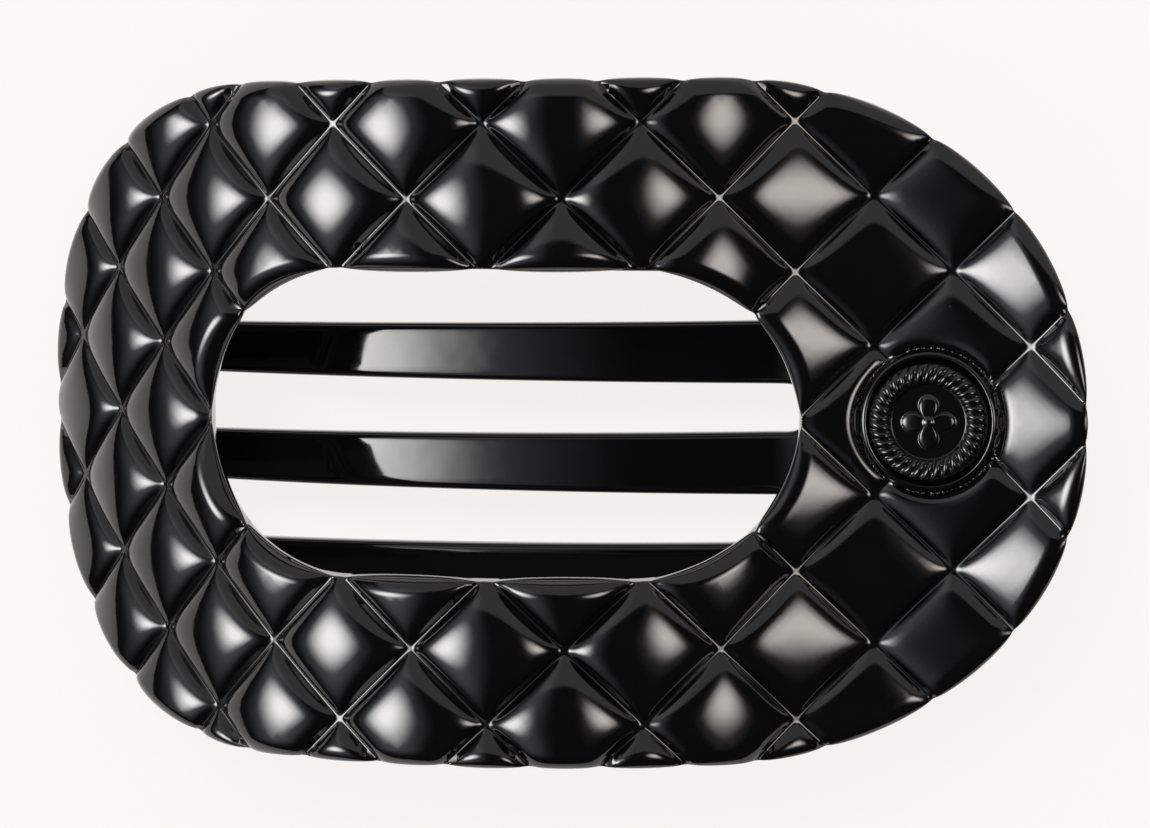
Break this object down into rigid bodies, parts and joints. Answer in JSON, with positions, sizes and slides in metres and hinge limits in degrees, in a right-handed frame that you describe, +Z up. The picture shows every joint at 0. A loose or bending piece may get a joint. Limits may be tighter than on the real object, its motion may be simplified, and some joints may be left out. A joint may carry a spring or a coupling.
{
  "type": "hair barrette",
  "caption": "Open oval spring-hinged hair barrette: quilted gloss shell curling to a nose, upturned thumb tab with a round badge, and a curved tined comb beneath.",
  "frame": {"origin": "centre of the bounding box in plan, on the surface that the clip lies on", "axes": "+Z up with the clip lying face up on its tine tips and lever, +X along the clip towards the thumb tab, +Y across it"},
  "size_m": [0.1042, 0.0636, 0.0358],
  "materials": {
    "shell_plastic": "polished gloss black moulding",
    "comb_plastic": "polished gloss black moulding",
    "badge_plastic": "gloss black with a moulded rope border",
    "pin_steel": "bright drawn steel",
    "spring_steel": "bright spring wire"
  },
  "bodies": {
    "shell": {"upper_shell": "shell_plastic", "badge_insert": "badge_plastic", "hinge_pin": "pin_steel", "torsion_spring": "spring_steel"},
    "comb": {"lower_comb": "comb_plastic"}
  },
  "joints": [
    {"name": "jaw_hinge", "type": "hinge", "parent": "comb", "child": "shell", "pos_m": [0.03251, 0, 0.01639], "axis": [0, 1, 0], "range_deg": [0, 32], "stiffness_Nm_per_rad": 0.15, "springref_deg": -34.38, "deforming": ["torsion_spring"]}
  ]
}
